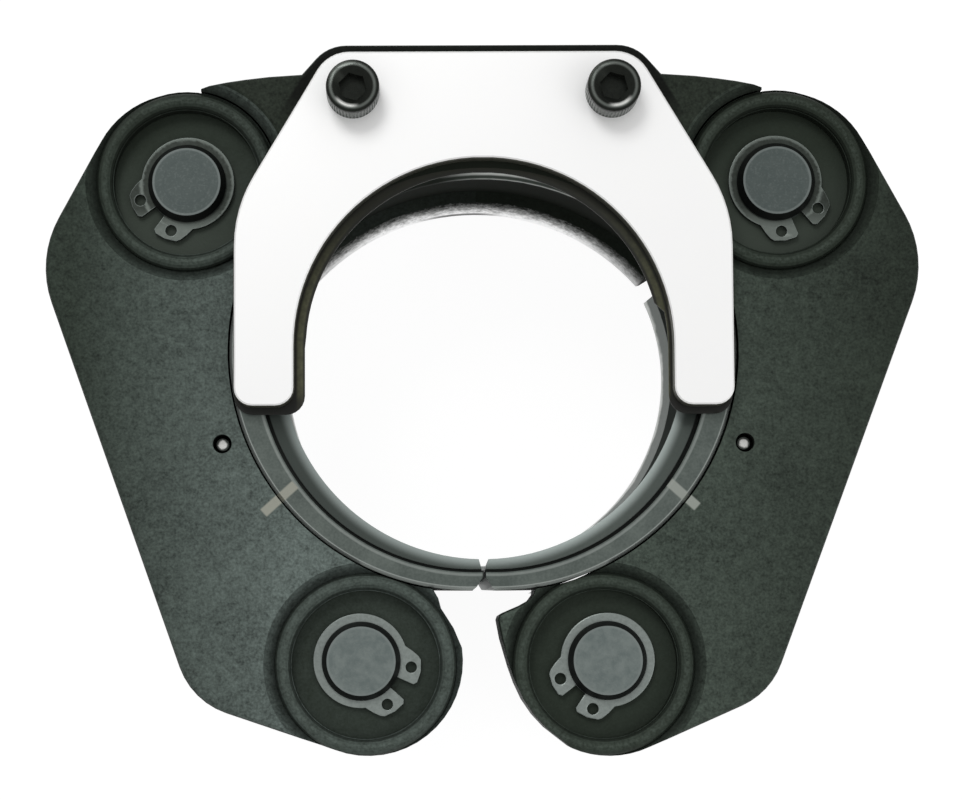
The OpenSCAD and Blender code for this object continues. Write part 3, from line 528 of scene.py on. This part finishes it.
def makeCirclipSteel(setting):
    # phosphated spring steel: the upper clips painted darker than the lower ones as shade, with a painted highlight
    # line and lugs on the upper ones, painted highlights on the bevels and painted shade on the walls
    steel = startMaterial("phosphatedSpringSteel")
    place, (x, y, z) = readPlace(steel)
    flat = readFlat(steel)
    cloud = addNode(steel, "ShaderNodeTexNoise", {"Vector": place, "Scale": 1 / (0.7 * mm), "Detail": 4.0,
                                                  "Roughness": 0.65})
    # painted shade: the upper clips darker
    high = addNode(steel, "ShaderNodeMath", {0: y, 1: 0.0}, operation="GREATER_THAN")
    color = layPaint(steel, hexToLinear(setting["lower"]), (high,), 1.0, setting["upper"])
    sideways = addNode(steel, "ShaderNodeMath", {0: x}, operation="ABSOLUTE")
    radius = radiusFrom(steel, sideways, y, ringSetting["upperPin"])
    # painted highlight: a ragged bright line round the upper clips, and their lugs
    ragged = addNode(steel, "ShaderNodeMath", {0: cloud, 1: 0.8 * mm, 2: radius}, operation="MULTIPLY_ADD")
    lugs = addNode(steel, "ShaderNodeMapRange", {0: y, 1: 24.5 * mm, 2: 21 * mm})
    paintedLightMask = addNode(steel, "ShaderNodeMath", {0: bandMask(steel, ragged, 7.6 * mm, 8.15 * mm, 0.25 * mm), 1: lugs},
                   operation="MAXIMUM")
    color = layPaint(steel, color, (paintedLightMask, high), 0.7, setting["upperHighlight"])
    blot = addNode(steel, "ShaderNodeMapRange", {0: cloud, 1: 0.4, 2: 0.7})
    color = layPaint(steel, color, (blot,), 0.3, setting["blot"])
    # painted highlight on the rolled bevels, painted shade on the upright walls
    color = layPaint(steel, color, (bandMask(steel, flat, 0.25, 0.93, 0.04),), 0.85, setting["edge"])
    wall = addNode(steel, "ShaderNodeMath", {0: flat, 1: 0.2}, operation="LESS_THAN")
    color = layPaint(steel, color, (wall,), 0.8, setting["wall"])
    bump = addNode(steel, "ShaderNodeBump", {"Height": cloud, "Strength": 0.3, "Distance": 0.02 * mm})
    rough = addNode(steel, "ShaderNodeMapRange", {0: cloud, 3: 0.36, 4: 0.5})
    return endMaterial(steel, {"Base Color": color, "Metallic": 0.6, "Roughness": rough, "Normal": bump})


def standIn(piece, node, finish):
    # the piece takes the CAD node's place, its body and its finish
    piece.data.materials.clear()
    piece.data.materials.append(finish)
    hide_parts(node)
    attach(piece, next(body for body, members in bodies.items() if node in members))


def dressCirclip(node, setting, finish):
    # copy of the CAD clip with its stamped edges rolled over
    bpy.ops.object.select_all(action="DESELECT")
    clip = bpy.data.objects.new(node + ".stamped", nodes[node].data.copy())
    bpy.context.scene.collection.objects.link(clip)
    clip.select_set(True)
    bpy.context.view_layer.objects.active = clip
    bpy.ops.object.mode_set(mode="EDIT")
    bpy.ops.mesh.select_all(action="SELECT")
    bpy.ops.mesh.remove_doubles(threshold=0.00001)
    bpy.ops.mesh.dissolve_limited(angle_limit=math.radians(1))
    bpy.ops.object.mode_set(mode="OBJECT")
    rolled = clip.modifiers.new("rolledEdge", "BEVEL")
    rolled.width = setting["bevel"] * mm
    rolled.segments = 2
    rolled.limit_method = "ANGLE"
    rolled.angle_limit = math.radians(40)
    bpy.ops.object.modifier_apply(modifier="rolledEdge")
    bpy.ops.object.shade_smooth_by_angle(angle=math.radians(25))
    standIn(clip, node, finish)


screwSetting = {
    "shank": 5.0,
    "head": 8.5,
    "headHeight": 5.0,
    "crown": 1.1,
    "crownEdge": 0.35,
    "knurls": 48,
    "knurlDepth": 0.12,
    "mouth": 6.4,
    "mouthDepth": 0.9,
    "socket": 4.0,
    "socketDepth": 2.8,
    "turn": 15.0,
    "color": "#141613",
    "light": "#262a25",
    "rim": "#7d837e",
    "side": "#5a605b",
    "glint": "#f4f5f1",
}


def makeScrewSteel(setting):
    # black oxide on alloy steel: nearly black, a little rubbed on the rim, with an oily shine, a painted
    # highlight crescent in the mouth and a painted reflection of the plate on the head's side
    steel = startMaterial("blackOxideSteel")
    place, (x, y, z) = readPlace(steel)
    low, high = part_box("plate_screw_right")
    sideways = addNode(steel, "ShaderNodeMath", {0: x}, operation="ABSOLUTE")
    radius = radiusFrom(steel, sideways, y, ((low[0] + high[0]) / 2 / mm, (low[1] + high[1]) / 2 / mm))
    cloud = addNode(steel, "ShaderNodeTexNoise", {"Vector": place, "Scale": 1 / (0.8 * mm), "Detail": 4.0,
                                                  "Roughness": 0.6})
    color = layPaint(steel, hexToLinear(setting["color"]), (cloud,), 1.0, setting["light"])
    top = addNode(steel, "ShaderNodeMath", {0: z, 1: high[2] - 1.0 * mm}, operation="GREATER_THAN")
    color = layPaint(steel, color, (top, bandMask(steel, radius, 3.3 * mm, 3.7 * mm, 0.2 * mm)), 0.6,
                     setting["rim"])
    # painted highlight: a bright crescent low on the rim
    dx = addNode(steel, "ShaderNodeMath", {0: sideways, 1: (low[0] + high[0]) / 2}, operation="SUBTRACT")
    dy = addNode(steel, "ShaderNodeMath", {0: y, 1: (low[1] + high[1]) / 2}, operation="SUBTRACT")
    turned = addNode(steel, "ShaderNodeMath", {0: dy, 1: dx}, operation="ARCTAN2")
    slip = bandMask(steel, turned, -1.7, -0.75, 0.25)
    color = layPaint(steel, color, (top, slip, bandMask(steel, radius, 2.95 * mm, 3.45 * mm, 0.2 * mm)), 0.9,
                     setting["glint"])
    # painted reflection: the head's side lighter where it mirrors the plate
    side = addNode(steel, "ShaderNodeMath", {0: z, 1: high[2] - 1.3 * mm}, operation="LESS_THAN")
    color = layPaint(steel, color, (side, bandMask(steel, radius, 3.9 * mm, 5 * mm, 0.1 * mm)), 0.8,
                     setting["side"])
    bump = addNode(steel, "ShaderNodeBump", {"Height": cloud, "Strength": 0.25, "Distance": 0.02 * mm})
    rough = addNode(steel, "ShaderNodeMapRange", {0: cloud, 3: 0.2, 4: 0.36})
    return endMaterial(steel, {"Base Color": color, "Metallic": 0.8, "Roughness": rough, "Normal": bump})


def applyModifier(piece, kind, **fields):
    # one modifier, set and applied to the piece alone
    bpy.ops.object.select_all(action="DESELECT")
    piece.select_set(True)
    bpy.context.view_layer.objects.active = piece
    step = piece.modifiers.new("step", kind)
    for name, value in fields.items():
        setattr(step, name, value)
    bpy.ops.object.modifier_apply(modifier="step")


def combine(body, tool, operation):
    applyModifier(body, "BOOLEAN", operation=operation, solver="EXACT", object=tool)
    bpy.data.objects.remove(tool, do_unlink=True)


def settle():
    # leaves the new primitive's place in its mesh
    bpy.ops.object.transform_apply(location=True, rotation=True, scale=True)
    return bpy.context.object


def buildScrew(node, setting, finish):
    # cap screw: knurled head with a rounded crown, conical mouth and hexagon socket
    low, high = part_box(node)
    cx, cy, top = (low[0] + high[0]) / 2, (low[1] + high[1]) / 2, high[2]
    foot = top - setting["headHeight"] * mm
    knurlTop = top - 0.6 * mm
    bpy.ops.object.select_all(action="DESELECT")
    bpy.ops.mesh.primitive_cylinder_add(vertices=setting["knurls"] * 2, radius=setting["head"] * mm / 2,
                                        depth=knurlTop - foot, location=(cx, cy, (foot + knurlTop) / 2))
    screw = settle()
    screw.name = node + ".knurled"
    # every second side face is pushed in for the knurl
    bpy.ops.object.mode_set(mode="EDIT")
    bpy.ops.mesh.select_mode(type="FACE")
    bpy.ops.mesh.select_all(action="DESELECT")
    bpy.ops.object.mode_set(mode="OBJECT")
    sides = [face for face in screw.data.polygons if abs(face.normal.z) < 0.5]
    sides.sort(key=lambda face: math.atan2(face.center.y - cy, face.center.x - cx))
    for face in sides[::2]:
        face.select = True
    bpy.ops.object.mode_set(mode="EDIT")
    bpy.ops.mesh.inset(thickness=0.05 * mm, depth=-setting["knurlDepth"] * mm, use_individual=True)
    bpy.ops.object.mode_set(mode="OBJECT")
    bpy.ops.object.select_all(action="DESELECT")
    bpy.ops.mesh.primitive_cylinder_add(vertices=96, radius=(setting["head"] / 2 - 0.02) * mm,
                                        depth=setting["crown"] * mm,
                                        location=(cx, cy, top - setting["crown"] * mm / 2))
    crown = settle()
    applyModifier(crown, "BEVEL", width=setting["crownEdge"] * mm, segments=3, limit_method="ANGLE")
    combine(screw, crown, "UNION")
    bpy.ops.object.select_all(action="DESELECT")
    shankTop = foot + 0.5 * mm
    bpy.ops.mesh.primitive_cylinder_add(vertices=48, radius=setting["shank"] * mm / 2, depth=shankTop - low[2],
                                        location=(cx, cy, (shankTop + low[2]) / 2))
    shank = settle()
    applyModifier(shank, "BEVEL", width=0.5 * mm, segments=1, limit_method="ANGLE")
    combine(screw, shank, "UNION")
    bpy.ops.object.select_all(action="DESELECT")
    bpy.ops.mesh.primitive_cylinder_add(vertices=6, radius=setting["socket"] * mm / 2 / math.cos(math.radians(30)),
                                        depth=setting["socketDepth"] * mm * 2, location=(cx, cy, top),
                                        rotation=(0, 0, math.radians(setting["turn"])))
    combine(screw, settle(), "DIFFERENCE")
    bpy.ops.object.select_all(action="DESELECT")
    narrow, wide = setting["socket"] * mm / 2, setting["mouth"] * mm / 2
    bpy.ops.mesh.primitive_cone_add(vertices=64, radius1=narrow, radius2=2 * wide - narrow,
                                    depth=setting["mouthDepth"] * mm * 2, location=(cx, cy, top))
    combine(screw, settle(), "DIFFERENCE")
    bpy.ops.object.select_all(action="DESELECT")
    screw.select_set(True)
    bpy.context.view_layer.objects.active = screw
    bpy.ops.object.shade_smooth_by_angle(angle=math.radians(28))
    standIn(screw, node, finish)


guideSetting = {"highlightSpot": "#f2f2ee", "face": "#3a3f3a", "chamfer": "#10120f", "middle": (41.73, -14.0)}


def makeGuideSteel(setting):
    # needle pin, dark, with a painted highlight spot in the middle of its domed end and the chamfer painted near
    # black as shade
    steel = startMaterial("hardenedNeedlePin")
    place, (x, y, z) = readPlace(steel)
    sideways = addNode(steel, "ShaderNodeMath", {0: x}, operation="ABSOLUTE")
    cloud = addNode(steel, "ShaderNodeTexNoise", {"Vector": place, "Scale": 1 / (0.6 * mm), "Detail": 3.0})
    radius = radiusFrom(steel, sideways, y, setting["middle"])
    ragged = addNode(steel, "ShaderNodeMath", {0: cloud, 1: 0.5 * mm, 2: radius}, operation="MULTIPLY_ADD")
    # painted highlight: a bright spot on the domed end
    highlightSpot = addNode(steel, "ShaderNodeMapRange", {0: ragged, 1: 1.05 * mm, 2: 0.8 * mm})
    color = layPaint(steel, hexToLinear(setting["face"]), (highlightSpot,), 1.0, setting["highlightSpot"])
    slope = addNode(steel, "ShaderNodeMapRange", {0: readFlat(steel), 1: 0.95, 2: 0.8})
    color = layPaint(steel, color, (slope,), 0.95, setting["chamfer"])
    bump = addNode(steel, "ShaderNodeBump", {"Height": cloud, "Strength": 0.2, "Distance": 0.01 * mm})
    rough = addNode(steel, "ShaderNodeMapRange", {0: cloud, 3: 0.3, 4: 0.42})
    return endMaterial(steel, {"Base Color": color, "Metallic": 0.5, "Roughness": rough, "Normal": bump})


# sheet between plate and link, in millimetres: how far its mouth and feet reach past the plate's
backingSetting = {
    "plateMouth": 30.15,
    "mouthHeight": 1.3,
    "mouth": 28.35,
    "leftShift": 1.65,
    "rightShift": -0.55,
    "rightStep": 8.5,
    "footShift": -1.1,
    "thick": 0.3,
    "gap": 0.36,
    "olive": "#53543c",
    "dark": "#3a3b28",
    "arch": "#14160d",
    "rim": "#0b0c07",
}


def makeBackingSteel(setting):
    # yellow zinc sheet painted dark olive as it lies in shade, with painted shadow black along the rim of its
    # mouth, under the plate's edge, below its feet and over its arch
    steel = startMaterial("shadedZincSheet")
    place, (x, y, z) = readPlace(steel)
    sideways = addNode(steel, "ShaderNodeMath", {0: x}, operation="ABSOLUTE")
    cloud = addNode(steel, "ShaderNodeTexNoise", {"Vector": place, "Scale": 1 / (1.2 * mm), "Detail": 4.0,
                                                  "Roughness": 0.65})
    tone = addNode(steel, "ShaderNodeMapRange", {0: cloud, 1: 0.35, 2: 0.65})
    color = layPaint(steel, hexToLinear(setting["dark"]), (tone,), 1.0, setting["olive"])
    round = radiusFrom(steel, x, y, (0.0, setting["mouthHeight"]))
    high = addNode(steel, "ShaderNodeMath", {0: y, 1: setting["mouthHeight"] * mm}, operation="GREATER_THAN")
    reach = addNode(steel, "ShaderNodeMix", {0: high, 2: sideways, 3: round})
    # painted shadow: black along the mouth's rim, under the plate's edge, below the feet and over the arch
    rim = addNode(steel, "ShaderNodeMapRange", {0: reach, 1: 28.95 * mm, 2: 28.65 * mm})
    color = layPaint(steel, color, (rim,), 0.9, setting["rim"])
    under = addNode(steel, "ShaderNodeMapRange", {0: reach, 1: 29.6 * mm, 2: 29.95 * mm})
    color = layPaint(steel, color, (under,), 0.9, setting["rim"])
    low = addNode(steel, "ShaderNodeMapRange", {0: y, 1: -5.5 * mm, 2: -7.5 * mm})
    color = layPaint(steel, color, (low,), 0.85, setting["rim"])
    arch = addNode(steel, "ShaderNodeMapRange", {0: y, 1: 10 * mm, 2: 24 * mm})
    color = layPaint(steel, color, (arch,), 0.9, setting["arch"])
    bump = addNode(steel, "ShaderNodeBump", {"Height": cloud, "Strength": 0.2, "Distance": 0.01 * mm})
    rough = addNode(steel, "ShaderNodeMapRange", {0: cloud, 3: 0.42, 4: 0.55})
    return endMaterial(steel, {"Base Color": color, "Metallic": 0.3, "Roughness": rough, "Normal": bump})


def pickVertices(piece, test):
    # selects the vertices whose place, in millimetres, passes the test, and opens edit mode
    bpy.ops.object.mode_set(mode="EDIT")
    bpy.ops.mesh.select_mode(type="VERT")
    bpy.ops.mesh.select_all(action="DESELECT")
    bpy.ops.object.mode_set(mode="OBJECT")
    for vertex in piece.data.vertices:
        vertex.select = test(vertex.co.x / mm, vertex.co.y / mm)
    bpy.ops.object.mode_set(mode="EDIT")


def layBacking(setting, finish):
    # cut to the plate's outline, its mouth and feet then drawn out past the plate
    bpy.ops.object.select_all(action="DESELECT")
    sheet = bpy.data.objects.new("backingSheet", nodes["front_plate"].data.copy())
    bpy.context.scene.collection.objects.link(sheet)
    sheet.select_set(True)
    bpy.context.view_layer.objects.active = sheet
    bpy.ops.object.mode_set(mode="EDIT")
    bpy.ops.mesh.select_all(action="SELECT")
    bpy.ops.mesh.remove_doubles(threshold=0.00001)
    bpy.ops.mesh.dissolve_limited(angle_limit=math.radians(1))
    bpy.ops.mesh.select_all(action="SELECT")
    low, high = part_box("front_plate")
    squeeze = setting["thick"] * mm / (high[2] - low[2])
    bpy.ops.transform.resize(value=(1, 1, squeeze), center_override=(0, 0, low[2]))
    bpy.ops.transform.translate(value=(0, 0, -setting["gap"] * mm))
    bpy.ops.object.mode_set(mode="OBJECT")
    edge, height, step = setting["plateMouth"], setting["mouthHeight"], setting["rightStep"]
    pickVertices(sheet, lambda x, y: y > height + 0.01 and math.hypot(x, y - height) < edge + 0.9
                 and not (x > 0 and y < step))
    scale = setting["mouth"] / edge
    bpy.ops.transform.resize(value=(scale, scale, 1), center_override=(0, height * mm, 0))
    bpy.ops.object.mode_set(mode="OBJECT")
    pickVertices(sheet, lambda x, y: -34 < x < -29 and y < height + 0.01)
    bpy.ops.transform.translate(value=(setting["leftShift"] * mm, 0, 0))
    bpy.ops.object.mode_set(mode="OBJECT")
    pickVertices(sheet, lambda x, y: 28.5 < x < 34 and y < step and (y < 0 or math.hypot(x, y - height) < edge + 0.9))
    bpy.ops.transform.translate(value=(setting["rightShift"] * mm, 0, 0))
    bpy.ops.object.mode_set(mode="OBJECT")
    pickVertices(sheet, lambda x, y: y < -5)
    bpy.ops.transform.translate(value=(0, setting["footShift"] * mm, 0))
    bpy.ops.object.mode_set(mode="OBJECT")
    sheet.data.materials.clear()
    sheet.data.materials.append(finish)
    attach(sheet, "link")


print("stage: camera, light and floor")
makeCamera(cameraSetting)
makeLights(lightSetting)
makeFloor(floorSetting)

print("stage: finishes")
finishes = {
    "forging": makeForged(forgedSetting),
    "segment": makeSegment(segmentSetting),
    "sheet": makePlate(plateSetting),
    "pin": makePin(pinSetting),
    "clip": makeCirclipSteel(circlipSetting),
    "screw": makeScrewSteel(screwSetting),
    "guide": makeGuideSteel(guideSetting),
}
finishOf = {"middle_link": "forging", "left_arm": "forging", "right_arm": "forging", "front_plate": "sheet",
            "left_segment": "segment", "right_segment": "segment"}
for name, thing in nodes.items():
    kind = finishOf.get(name) or next((word for word in ("clip", "screw", "guide") if word in name), "pin")
    thing.data.materials.clear()
    thing.data.materials.append(finishes[kind])

print("stage: circlips with rolled edges")
for name in sorted(nodes):
    if "circlip" in name:
        dressCirclip(name, circlipSetting, finishes["clip"])

print("stage: cap screws")
for name in ("plate_screw_left", "plate_screw_right"):
    buildScrew(name, screwSetting, finishes["screw"])

print("stage: backing sheet")
layBacking(backingSetting, makeBackingSteel(backingSetting))
